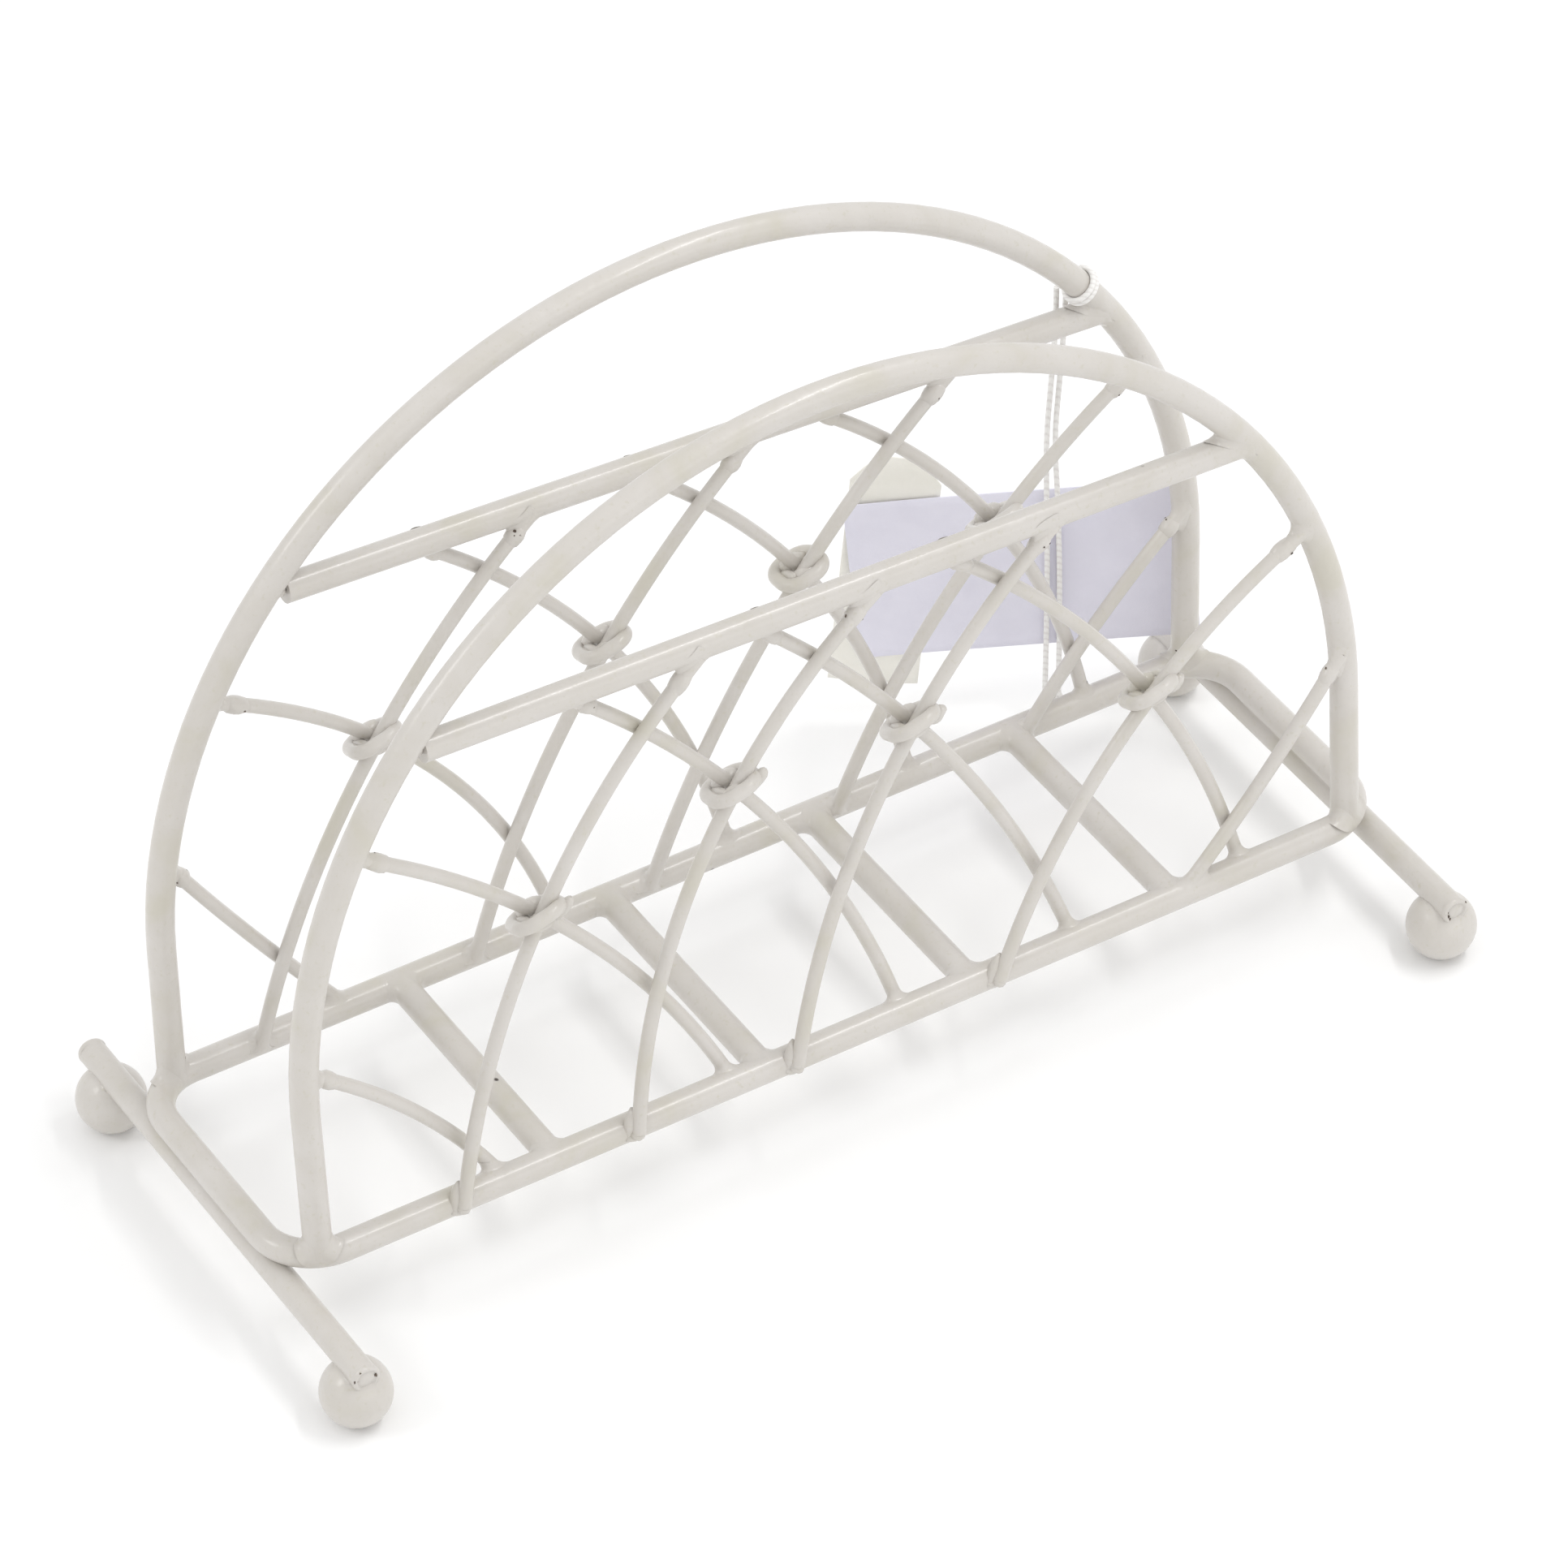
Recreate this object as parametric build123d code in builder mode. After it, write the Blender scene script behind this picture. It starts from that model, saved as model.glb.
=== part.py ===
"""Wirework toast rack: two latticed arches on a ring base with ball feet, and a paper tag.

Millimetres. X runs along the rack, Y from the front arch to the back arch, Z up.
The origin is on the table, under the middle of the four feet.
"""
from build123d import *
import math
import os

# ---- wire and feet -------------------------------------------------------------------
MAIN_WIRE = 4.0  # diameter of the ring, bars, arches and chords
THIN_WIRE = 2.0  # diameter of the lattice wires and their ties
BALL = 10.0  # diameter of a ball foot
FOOT_FLAT = 0.2  # depth of the flat worn on the bottom of each ball
WELD_BITE = 0.1  # how far the ring sinks into the foot bars that it is welded to

# ---- base ----------------------------------------------------------------------------
RING_LENGTH = 174.0  # between the centrelines of the two side rails
RING_DEPTH = 42.0  # between the centrelines of the front and back rails
RING_CORNER = 8.0  # centreline radius of the ring's corners
RING_SET_BACK = 3.7  # the ring stands this far behind the middle of the feet
CROSS_BARS = 4
BAR_PITCH = 33.2  # between the centrelines of neighbouring bars
BAR_SHIFT = 3.3  # the row of bars stands this far to the right of the middle
BALL_DROP = 4.7  # from the foot bar's axis down to the ball's centre
BALL_SPACING = 68.0  # between the front and back ball centres
FRONT_STUB = 3.2  # foot bar past the centre of the front ball
BACK_STUB = 5.2  # foot bar past the centre of the back ball

# ---- arches --------------------------------------------------------------------------
LEG_INSET = 4.65  # from the centreline of a side rail to that of the leg beside it
LEG_HEIGHT = 23.4  # straight leg, from the ring's centreline to the spring of the arch
LEG_SEAT = 0.3  # the legs reach down to this height above the ring's centreline
FRONT_LEAN = 3.1  # degrees that the front arch leans back
BACK_LEAN = 0.7
CHORD_GAP_LEFT = 2.4  # from the arch's centreline to the chord's cut left end
CHORD_GAP_RIGHT = 0.8
WIRE_SEAT = 0.8  # a lattice wire ends this far from the centreline of the wire it meets
LAYER_GAP = 0.08  # from the plane of the arch to the lattice layer on either side of it
LAID_END = 0.7  # wires laid over the front rail end this far above its centreline
RAIL_BITE = 0.6  # and sink this far into it

# ---- wire ties -----------------------------------------------------------------------
TIE_LENGTH = 6.4  # centreline length of a tie, along the rack
TIE_BITE = 0.05  # how far a tie presses into each of the two wires in it
TIE_CORNER = 2.4  # centreline radius of its four bends
TIE_ROLL = 16.0  # degrees that the right end of each tie is raised

# ---- paper tag -----------------------------------------------------------------------
THREAD = 0.8  # diameter
WRAP_ANGLE = 38.4  # degrees up the arch's half circle to the thread wound round it
WRAP_PITCH = 0.76  # from one turn to the next, along the arch
WRAP_TURNS = 2
WRAP_SLACK = 0.02  # between the thread and the arch's paint
TAG_OFFSET = (3.96, 12.65)  # from the middle of the wrap to where the strands cross the tag
TAG_YAW = -31.0
PAPER = 0.3
LABEL_SIZE = (49.0, 28.0)
LABEL_MIDDLE = (-4.2, -60.2)  # along the tag from the strands, and up from the wrap
LABEL_ROLL = 4.5
CARD_SIZE = (13.0, 41.0)
CARD_MIDDLE = (-23.7, -60.6)
CARD_ROLL = -5.6
CARD_CLIP = 4.0  # cut off both top corners

# ---- what follows from those sizes ---------------------------------------------------
main_r = MAIN_WIRE / 2
thin_r = THIN_WIRE / 2
ball_z = BALL / 2 - FOOT_FLAT
foot_bar_z = ball_z + BALL_DROP
ring_z = foot_bar_z + MAIN_WIRE - WELD_BITE
foot_bar_x = RING_LENGTH / 2
leg_x = foot_bar_x - LEG_INSET
layer = thin_r + LAYER_GAP  # from the plane of the arch to a lattice layer's centrelines

# A leg stands on the rounded corner of the ring, a little inside the line of the rail.
past_corner = leg_x - (RING_LENGTH / 2 - RING_CORNER)
corner_inset = RING_CORNER - math.sqrt(RING_CORNER**2 - past_corner**2)
front_rail_y = RING_SET_BACK - RING_DEPTH / 2
back_rail_y = RING_SET_BACK + RING_DEPTH / 2

# The two lattice panels. A place along the rack is a share of the way from the middle to
# a leg, and a height is a share of the height of the chord above the ring. Right wires lean
# right and lie in front of left wires. Each tie holds one right and one left wire; the
# first left wire and the last right wire are short ones that only bend.
FRONT = {
    "name": "front",
    "lean": FRONT_LEAN,
    "leg_y": front_rail_y + corner_inset,
    "chord_height": 73.5,
    "chord_drop": 4.8,  # from the left leg to the right leg
    "ties": ((-0.56, 0.56), (-0.19, 0.67), (0.15, 0.65), (0.61, 0.5)),
    "tie_tilts": (33, 22, 33, 32),  # degrees that the back of each tie hangs down
    "right_feet": (-0.75, -0.42, -0.115, 0.28, 0.66),
    "right_on_chord": (-0.24, 0.09, 0.43),
    "right_on_arch": (0.735, 0.415),
    "right_bend": (0.83, 0.2),
    "left_feet": (-0.66, -0.22, 0.11, 0.45, 0.79),
    "left_on_arch": (0.4, 0.837),
    "left_on_chord": (-0.48, -0.13, 0.225),
    "left_bend": (-0.81, 0.23),
    "laid_over_rail": 4,  # this many right wires run down over the front of the rail
}
BACK = {
    "name": "back",
    "lean": BACK_LEAN,
    "leg_y": back_rail_y - corner_inset,
    "chord_height": 72.6,
    "chord_drop": 8.3,
    "ties": ((-0.59, 0.62), (-0.155, 0.63), (0.225, 0.62), (0.61, 0.55)),
    "tie_tilts": (30, 24, 10, 38),
    "right_feet": (-0.84, -0.43, -0.09, 0.28, 0.66),
    "right_on_chord": (-0.285, 0.13, 0.52),
    "right_on_arch": (0.806, 0.406),
    "right_bend": (0.8, 0.2),
    "left_feet": (-0.67, -0.26, 0.08, 0.44, 0.8),
    "left_on_arch": (0.51, 0.84),
    "left_on_chord": (-0.49, -0.09, 0.255),
    "left_bend": (-0.82, 0.24),
    "laid_over_rail": 0,
}


def save(piece, name):
    """Label a finished piece and write it as one STEP file."""
    piece.label = name
    export_step(piece, f"parts/{name}.step")


def panel_plane(panel, offset=0.0):
    """The plane of an arch: local x along the rack, local y up the arch from the ring."""
    lean = math.radians(panel["lean"])
    return Plane(
        origin=(0, panel["leg_y"] + offset, ring_z),
        x_dir=(1, 0, 0),
        z_dir=(0, -math.cos(lean), math.sin(lean)),
    )


def chord_height(panel, x):
    """Height of the chord's centreline above the ring at x."""
    return panel["chord_height"] - panel["chord_drop"] * x / (2 * leg_x)


def panel_point(panel, place):
    """A place in a panel's shares, as its distance along the rack and height above the ring."""
    along, height = place
    return (along * leg_x, height * panel["chord_height"])


def chord_point(panel, along):
    """Where a lattice wire ends, inside the chord."""
    x = along * leg_x
    return (x, chord_height(panel, x) - WIRE_SEAT)


def arch_point(panel, height, side):
    """Where a lattice wire ends, inside the arch; side is -1 on the left and 1 on the right."""
    y = height * panel["chord_height"]
    return (side * (arch_reach(y) - WIRE_SEAT), y)


def arch_reach(height):
    """Half width of the arch's centreline at a height above the ring."""
    rise = max(height - LEG_HEIGHT, 0)
    return math.sqrt(leg_x**2 - rise**2)


def ring_path(length, depth, corner, plane):
    """A closed rounded rectangle, as the centreline of a bent wire."""
    with BuildLine(plane) as path:
        x = length / 2
        y = depth / 2
        FilletPolyline((-x, -y), (x, -y), (x, y), (-x, y), radius=corner, close=True)
    return path.wire()


def round_section(path, radius):
    """A round wire section square to the start of a path."""
    with BuildSketch(Plane(origin=path @ 0, z_dir=path % 0)) as section:
        Circle(radius)
    return section.sketch


os.makedirs("parts", exist_ok=True)

# ---- base ring -----------------------------------------------------------------------
ring_wire = ring_path(RING_LENGTH, RING_DEPTH, RING_CORNER, Plane((0, RING_SET_BACK, ring_z)))
with BuildPart() as base_ring:
    sweep(round_section(ring_wire, main_r), path=ring_wire)
save(base_ring.part, "base_ring")

# ---- cross bars, butted between the rails --------------------------------------------
cross_bars = []
for index in range(CROSS_BARS):
    bar_x = BAR_SHIFT + (index - (CROSS_BARS - 1) / 2) * BAR_PITCH
    with BuildPart() as cross_bar:
        with BuildSketch(Plane.XZ.offset(-back_rail_y)):
            with Locations((bar_x, ring_z)):
                Circle(main_r)
        extrude(amount=RING_DEPTH)
        add(base_ring.part, mode=Mode.SUBTRACT)
    save(cross_bar.part, f"cross_bar_{index + 1}")
    cross_bars.append(cross_bar.part)

# ---- foot bars under the ring, each on two balls ---------------------------------------
front_ball_y = -BALL_SPACING / 2 - (BACK_STUB - BALL / 2) / 2
back_ball_y = front_ball_y + BALL_SPACING
front_end_y = front_ball_y - FRONT_STUB
back_end_y = back_ball_y + BACK_STUB
for side, sign in (("left", -1), ("right", 1)):
    with BuildPart() as foot_bar:
        with BuildSketch(Plane.XZ.offset(-back_end_y)):
            with Locations((sign * foot_bar_x, foot_bar_z)):
                Circle(main_r)
        extrude(amount=back_end_y - front_end_y)
        add(base_ring.part, mode=Mode.SUBTRACT)
    save(foot_bar.part, f"foot_bar_{side}")
    for place, ball_y in (("front", front_ball_y), ("back", back_ball_y)):
        with BuildPart() as ball_foot:
            with Locations((sign * foot_bar_x, ball_y, ball_z)):
                Sphere(BALL / 2)
            split(bisect_by=Plane.XY, keep=Keep.TOP)
            add(foot_bar.part, mode=Mode.SUBTRACT)
        save(ball_foot.part, f"ball_foot_{place}_{side}")


def make_arch(panel):
    """A bent wire: two straight legs and a half circle, standing on the ring."""
    with BuildPart() as arch:
        with BuildLine(panel_plane(panel)) as path:
            Line((-leg_x, LEG_SEAT), (-leg_x, LEG_HEIGHT))
            RadiusArc((-leg_x, LEG_HEIGHT), (leg_x, LEG_HEIGHT), leg_x)
            Line((leg_x, LEG_HEIGHT), (leg_x, LEG_SEAT))
        sweep(round_section(path.wire(), main_r), path=path.wire())
        add(base_ring.part, mode=Mode.SUBTRACT)
    return arch.part


def make_chord(panel, arch):
    """The straight wire across an arch, cut square and butted against its inner side."""
    left_x = CHORD_GAP_LEFT - arch_reach(chord_height(panel, -leg_x))
    right_x = arch_reach(chord_height(panel, leg_x)) - CHORD_GAP_RIGHT
    with BuildPart() as chord:
        with BuildLine(panel_plane(panel)) as path:
            Line(
                (left_x, chord_height(panel, left_x)),
                (right_x, chord_height(panel, right_x)),
            )
        sweep(round_section(path.wire(), main_r), path=path.wire())
        add(arch, mode=Mode.SUBTRACT)
    return chord.part


def make_lattice_wire(foot, middle, head, neighbours):
    """A thin wire bent in one sweep through three points, coped to fit its neighbours."""
    with BuildPart() as wire:
        with BuildLine() as path:
            ThreePointArc(foot, middle, head)
        sweep(round_section(path.wire(), thin_r), path=path.wire())
        for neighbour in neighbours:
            add(neighbour, mode=Mode.SUBTRACT)
    return wire.part


def make_tie(panel, place, tilt, pair):
    """A closed loop of thin wire round a pair of crossing wires."""
    middle = panel_plane(panel).from_local_coords(place)
    half_depth = layer + 2 * thin_r - TIE_BITE
    along = Vector(1, 0, 0).rotate(Axis.Y, -TIE_ROLL)
    back = Vector(0, 1, 0).rotate(Axis.X, -tilt)
    loop_plane = Plane(middle, x_dir=along, z_dir=along.cross(back))
    loop = ring_path(TIE_LENGTH, 2 * half_depth / loop_plane.y_dir.Y, TIE_CORNER, loop_plane)
    with BuildPart() as tie:
        sweep(round_section(loop, thin_r), path=loop)
        for wire in pair:
            add(wire, mode=Mode.SUBTRACT)
    return tie.part


def make_family(panel, lean, middles, heads, offset, laid, neighbours):
    """Write the five lattice wires that lean one way, and return them."""
    plane = panel_plane(panel, offset)
    on_rail_y = front_rail_y - main_r - thin_r + RAIL_BITE
    wires = []
    for index, (along, middle, head) in enumerate(zip(panel[f"{lean}_feet"], middles, heads)):
        foot = plane.from_local_coords((along * leg_x, WIRE_SEAT / 2))
        if index < laid:
            foot = Vector(along * leg_x, on_rail_y, ring_z + LAID_END)
        wire = make_lattice_wire(
            foot, plane.from_local_coords(middle), plane.from_local_coords(head), neighbours
        )
        save(wire, f"{panel['name']}_wire_{lean}_{index + 1}")
        wires.append(wire)
    return wires


def make_panel(panel):
    """Write an arch, its chord, its ten lattice wires and its four ties."""
    name = panel["name"]
    arch = make_arch(panel)
    chord = make_chord(panel, arch)
    save(arch, f"{name}_arch")
    save(chord, f"{name}_chord")
    ties = [panel_point(panel, place) for place in panel["ties"]]
    right_middles = ties + [panel_point(panel, panel["right_bend"])]
    left_middles = [panel_point(panel, panel["left_bend"])] + ties
    right_heads = [chord_point(panel, along) for along in panel["right_on_chord"]]
    right_heads += [arch_point(panel, height, 1) for height in panel["right_on_arch"]]
    left_heads = [arch_point(panel, height, -1) for height in panel["left_on_arch"]]
    left_heads += [chord_point(panel, along) for along in panel["left_on_chord"]]
    neighbours = [base_ring.part, arch, chord] + cross_bars
    laid = panel["laid_over_rail"]
    right = make_family(panel, "right", right_middles, right_heads, -layer, laid, neighbours)
    left = make_family(panel, "left", left_middles, left_heads, layer, 0, neighbours)
    for index, (place, tilt) in enumerate(zip(ties, panel["tie_tilts"])):
        tie = make_tie(panel, place, tilt, (right[index], left[index + 1]))
        save(tie, f"{name}_tie_{index + 1}")


make_panel(FRONT)
make_panel(BACK)

# ---- thread wound round the back arch ------------------------------------------------
wrap_angle = math.radians(WRAP_ANGLE)
wrap_x = leg_x * math.cos(wrap_angle)
wrap_middle = panel_plane(BACK).from_local_coords(
    (wrap_x, LEG_HEIGHT + leg_x * math.sin(wrap_angle))
)
arch_middle = panel_plane(BACK).from_local_coords((0, LEG_HEIGHT))
along_arch = panel_plane(BACK).z_dir.cross(wrap_middle - arch_middle).normalized()
turn_radius = main_r + THREAD / 2 + WRAP_SLACK
with BuildPart() as thread_wrap:
    for turn in range(WRAP_TURNS):
        shift = (turn - (WRAP_TURNS - 1) / 2) * WRAP_PITCH
        turn_plane = Plane(wrap_middle + along_arch * shift, z_dir=along_arch)
        with BuildLine(turn_plane) as turn_path:
            CenterArc((0, 0), turn_radius, 0, 360)
        sweep(round_section(turn_path.wire(), THREAD / 2), path=turn_path.wire())
save(thread_wrap.part, "thread_wrap")

# ---- label, and the narrow card behind it --------------------------------------------
yaw = math.radians(TAG_YAW)
along_tag = Vector(math.cos(yaw), math.sin(yaw), 0)
tag_front = Vector(math.sin(yaw), -math.cos(yaw), 0)
tag_x, tag_y = TAG_OFFSET


def paper_plane(middle, behind):
    """The front face of a sheet this far behind the strands, about the sheet's middle."""
    along, above = middle
    origin = wrap_middle + Vector(tag_x, tag_y, above) + along_tag * along - tag_front * behind
    return Plane(origin, x_dir=along_tag, z_dir=tag_front)


with BuildPart() as tag_label:
    with BuildSketch(paper_plane(LABEL_MIDDLE, 0)):
        Rectangle(*LABEL_SIZE, rotation=LABEL_ROLL)
    extrude(amount=-PAPER)
save(tag_label.part, "tag_label")

with BuildPart() as tag_card:
    with BuildSketch(paper_plane(CARD_MIDDLE, PAPER)) as card_face:
        Rectangle(*CARD_SIZE, rotation=CARD_ROLL)
        chamfer(card_face.vertices().sort_by(Axis.Z)[-2:], CARD_CLIP)
    extrude(amount=-PAPER)
save(tag_card.part, "tag_card")

# ---- the two strands, from the wrap down across the label to their loose ends --------
# Each point is measured from the middle of the wrap.
STRANDS = {
    "thread_strand_left": (
        (-1.9, 3.1, -1.4),
        (-2.0, 3.1, -8.9),
        (-0.8, 6.1, -21.5),
        (1.0, 9.9, -33.8),
        (3.0, 12.7, -47.4),
        (3.2, 12.6, -66.0),
        (2.8, 12.6, -84.7),
    ),
    "thread_strand_right": (
        (-0.1, 3.4, -1.6),
        (-0.5, 3.2, -8.9),
        (0.4, 5.8, -21.5),
        (2.0, 9.3, -33.8),
        (4.4, 11.9, -47.4),
        (4.75, 11.65, -66.0),
        (4.6, 11.75, -85.0),
    ),
}
ARC_SHARE = 0.45  # of the shorter run beside a bend


def bend_radii(points):
    """The radius of each bend, as large as the two runs beside it allow."""
    radii = []
    for before, corner, after in zip(points, points[1:], points[2:]):
        turn = (corner - before).get_angle(after - corner)
        run = min((corner - before).length, (after - corner).length)
        radii.append(ARC_SHARE * run / math.tan(math.radians(turn) / 2))
    return radii


for name, offsets in STRANDS.items():
    points = [wrap_middle + Vector(*offset) for offset in offsets]
    radii = bend_radii(points)
    with BuildPart() as strand:
        with BuildLine() as route:
            FilletPolyline(*points, radius=radii)
        sweep(round_section(route.wire(), THREAD / 2), path=route.wire())
    filled = strand.part.volume / (math.pi * (THREAD / 2) ** 2 * route.wire().length)
    print(name, "length", round(route.wire().length, 1), "filled", round(filled, 4))
    print(name, "bend radii", [round(radius, 1) for radius in radii])
    save(strand.part, name)
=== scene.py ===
"""Painted wirework toast rack with a paper tag: materials, paint and thread over the CAD frame.

Metres, in the frame of the CAD model: X along the rack, Y from the front arch to the back
arch, Z up from the table.
"""
import math
import random

import bmesh
import bpy
from mathutils import Matrix, Vector, noise


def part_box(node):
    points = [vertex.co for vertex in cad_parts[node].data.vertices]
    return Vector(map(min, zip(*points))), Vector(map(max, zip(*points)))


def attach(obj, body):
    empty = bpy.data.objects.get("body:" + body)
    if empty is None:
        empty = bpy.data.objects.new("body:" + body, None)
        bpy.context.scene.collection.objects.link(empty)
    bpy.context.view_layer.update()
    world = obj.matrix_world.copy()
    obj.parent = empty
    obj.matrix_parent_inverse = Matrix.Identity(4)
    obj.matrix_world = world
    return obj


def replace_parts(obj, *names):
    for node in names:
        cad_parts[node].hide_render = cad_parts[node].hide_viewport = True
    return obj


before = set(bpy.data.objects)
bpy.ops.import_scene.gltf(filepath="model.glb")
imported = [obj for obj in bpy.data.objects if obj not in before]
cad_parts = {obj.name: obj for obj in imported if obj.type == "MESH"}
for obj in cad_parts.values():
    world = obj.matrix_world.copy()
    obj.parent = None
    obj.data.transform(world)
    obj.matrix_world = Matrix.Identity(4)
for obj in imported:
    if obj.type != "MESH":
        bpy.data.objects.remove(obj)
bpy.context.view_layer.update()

MM = 0.001
RNG = random.Random(11)

# ---- sizes shared with the CAD model ---------------------------------------------------
MAIN_R = 2 * MM  # of the ring, bars, arches and chords
THIN_R = 1 * MM  # of the lattice wires and their ties
RING_CORNER = 8 * MM
CROSS_BARS = 4
LATTICE_WIRES = 5
TIES = 4
LAID_OVER_RAIL = 4  # front right-leaning wires that run down over the front of the rail
THREAD = 0.8 * MM
WRAP_TURNS = 2
WRAP_PITCH = 0.76 * MM

ring_low, ring_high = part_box("base_ring")
RING_Z = (ring_low[2] + ring_high[2]) / 2
SIDE_X = ring_high[0] - MAIN_R
RAIL_Y = {"front": ring_low[1] + MAIN_R, "back": ring_high[1] - MAIN_R}

X = Vector((1, 0, 0))
Y = Vector((0, 1, 0))
UP = Vector((0, 0, 1))
TIE_ROLL = math.radians(16)  # how far the right end of a tie is raised
TIE_TILT = math.radians(28)  # how far the back of a tie hangs down, on average
TIE_ALONG = Vector((math.cos(TIE_ROLL), 0, math.sin(TIE_ROLL)))
TIE_BACK = Vector((0, math.cos(TIE_TILT), -math.sin(TIE_TILT)))


# ---- materials -------------------------------------------------------------------------
class Nodes:
    """A material's node tree, with short calls to add and join nodes."""

    def __init__(self, name):
        self.material = bpy.data.materials.new(name)
        self.material.use_nodes = True
        self.tree = self.material.node_tree
        self.shader = self.tree.nodes["Principled BSDF"]
        self.place = self.add("ShaderNodeTexCoord").outputs["Object"]

    def add(self, kind, **settings):
        """A new node. Settings are its properties, or its inputs where the name is one."""
        node = self.tree.nodes.new(kind)
        for name, value in settings.items():
            if hasattr(node, name):
                setattr(node, name, value)
            else:
                node.inputs[name.replace("_", " ")].default_value = value
        return node

    def join(self, source, target):
        self.tree.links.new(source, target)

    def noise(self, scale, detail=3.0, distortion=0.0):
        node = self.add("ShaderNodeTexNoise", Scale=scale, Detail=detail, Distortion=distortion)
        self.join(self.place, node.inputs["Vector"])
        return node.outputs["Fac"]

    def ramp(self, source, stops):
        """A colour ramp over source; stops are (position, colour) from low to high."""
        node = self.add("ShaderNodeValToRGB")
        elements = node.color_ramp.elements
        while len(elements) < len(stops):
            elements.new(0.5)
        for element, (position, colour) in zip(elements, stops):
            element.position = position
            element.color = (*colour, 1)
        self.join(source, node.inputs["Fac"])
        return node.outputs["Color"]

    def scaled(self, source, low, high):
        """Source from 0..1 stretched to low..high."""
        node = self.add("ShaderNodeMapRange")
        node.inputs["To Min"].default_value = low
        node.inputs["To Max"].default_value = high
        self.join(source, node.inputs["Value"])
        return node.outputs["Result"]

    def mix(self, factor, first, second, blend="MIX"):
        node = self.add("ShaderNodeMix", data_type="RGBA", blend_type=blend)
        for socket, value in ((0, factor), (6, first), (7, second)):
            if isinstance(value, bpy.types.NodeSocket):
                self.join(value, node.inputs[socket])
            elif isinstance(value, tuple):
                node.inputs[socket].default_value = (*value, 1)
            else:
                node.inputs[socket].default_value = value
        return node.outputs[2]

    def bump(self, height, strength, distance, below=None):
        node = self.add("ShaderNodeBump", Strength=strength, Distance=distance)
        self.join(height, node.inputs["Height"])
        if below:
            self.join(below, node.inputs["Normal"])
        return node.outputs["Normal"]

    def finish(self, colour=None, roughness=None, normal=None, **constants):
        for name, source in (("Base Color", colour), ("Roughness", roughness), ("Normal", normal)):
            if source:
                self.join(source, self.shader.inputs[name])
        for name, value in constants.items():
            self.shader.inputs[name.replace("_", " ")].default_value = value
        return self.material


PAINT_LIGHT = (0.618, 0.590, 0.556)
PAINT_MID = (0.590, 0.560, 0.518)
PAINT_THIN = (0.560, 0.532, 0.462)
RUST = (0.055, 0.038, 0.028)


def paint_material():
    """Satin warm white dip paint: uneven thickness, yellower where thin, with dark pinholes."""
    nodes = Nodes("cream_dip_paint")
    patches = nodes.noise(90, 4, 0.6)
    colour = nodes.ramp(patches, [(0.30, PAINT_THIN), (0.45, PAINT_MID), (0.68, PAINT_LIGHT)])
    specks = nodes.ramp(nodes.noise(1400, 2), [(0.60, (0, 0, 0)), (0.78, (1, 1, 1))])
    colour = nodes.mix(specks, colour, PAINT_THIN)
    cells = nodes.add("ShaderNodeTexVoronoi", Scale=115.0)
    nodes.join(nodes.place, cells.inputs["Vector"])
    dots = nodes.ramp(cells.outputs["Distance"], [(0.028, (1, 1, 1)), (0.045, (0, 0, 0))])
    rare = nodes.ramp(nodes.noise(60, 1), [(0.56, (0, 0, 0)), (0.60, (1, 1, 1))])
    pinholes = nodes.mix(1.0, dots, rare, "MULTIPLY")
    colour = nodes.mix(pinholes, colour, RUST)
    runs = nodes.bump(nodes.noise(190, 2, 0.4), 0.55, 0.0006)
    beads = nodes.bump(nodes.noise(620, 2), 0.35, 0.0002, runs)
    peel = nodes.bump(nodes.noise(1700, 3), 0.2, 0.0001, beads)
    pits = nodes.bump(nodes.ramp(pinholes, [(0, (1, 1, 1)), (1, (0, 0, 0))]), 0.8, 0.0002, peel)
    roughness = nodes.scaled(nodes.noise(320, 3), 0.26, 0.50)
    return nodes.finish(
        colour, roughness, pits, IOR=1.5, Coat_Weight=0.45, Coat_Roughness=0.15
    )


def pinhole_material():
    """Bare rusting wire at the bottom of a pinhole in the paint."""
    nodes = Nodes("pinhole_rust")
    colour = nodes.ramp(nodes.noise(2500), [(0.35, RUST), (0.7, (0.16, 0.12, 0.09))])
    normal = nodes.bump(nodes.noise(3000), 0.5, 0.0001)
    return nodes.finish(colour, normal=normal, Roughness=0.75)


def thread_material():
    """White cotton thread: two plies show as slanted bands, with fuzz."""
    nodes = Nodes("cotton_thread")
    bands = nodes.add("ShaderNodeTexWave", Scale=560.0, Distortion=0.8, bands_direction="DIAGONAL")
    bands.inputs["Detail Scale"].default_value = 3.0
    nodes.join(nodes.place, bands.inputs["Vector"])
    twist = bands.outputs["Fac"]
    colour = nodes.ramp(twist, [(0.0, (0.78, 0.76, 0.74)), (0.5, (0.88, 0.87, 0.85))])
    normal = nodes.bump(twist, 0.35, 0.0001)
    fibres = nodes.bump(nodes.noise(5200, 4), 0.45, 0.00008, normal)
    return nodes.finish(
        colour, normal=fibres, Roughness=0.92, Sheen_Weight=0.35, Sheen_Roughness=0.4
    )


def paper_material(name, light, dark, fibre_bump):
    """Matte paper or card with a faint mottle and fibres."""
    nodes = Nodes(name)
    mottle = nodes.noise(260, 5)
    colour = nodes.ramp(mottle, [(0.3, dark), (0.7, light)])
    fibres = nodes.noise(3200, 6, 0.8)
    colour = nodes.mix(nodes.scaled(fibres, 0.0, 0.25), colour, dark)
    normal = nodes.bump(fibres, fibre_bump, 0.00008)
    waves = nodes.bump(nodes.noise(45, 2), 0.12, 0.0008, normal)
    roughness = nodes.scaled(mottle, 0.78, 0.95)
    return nodes.finish(colour, roughness, waves, IOR=1.45)


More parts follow.
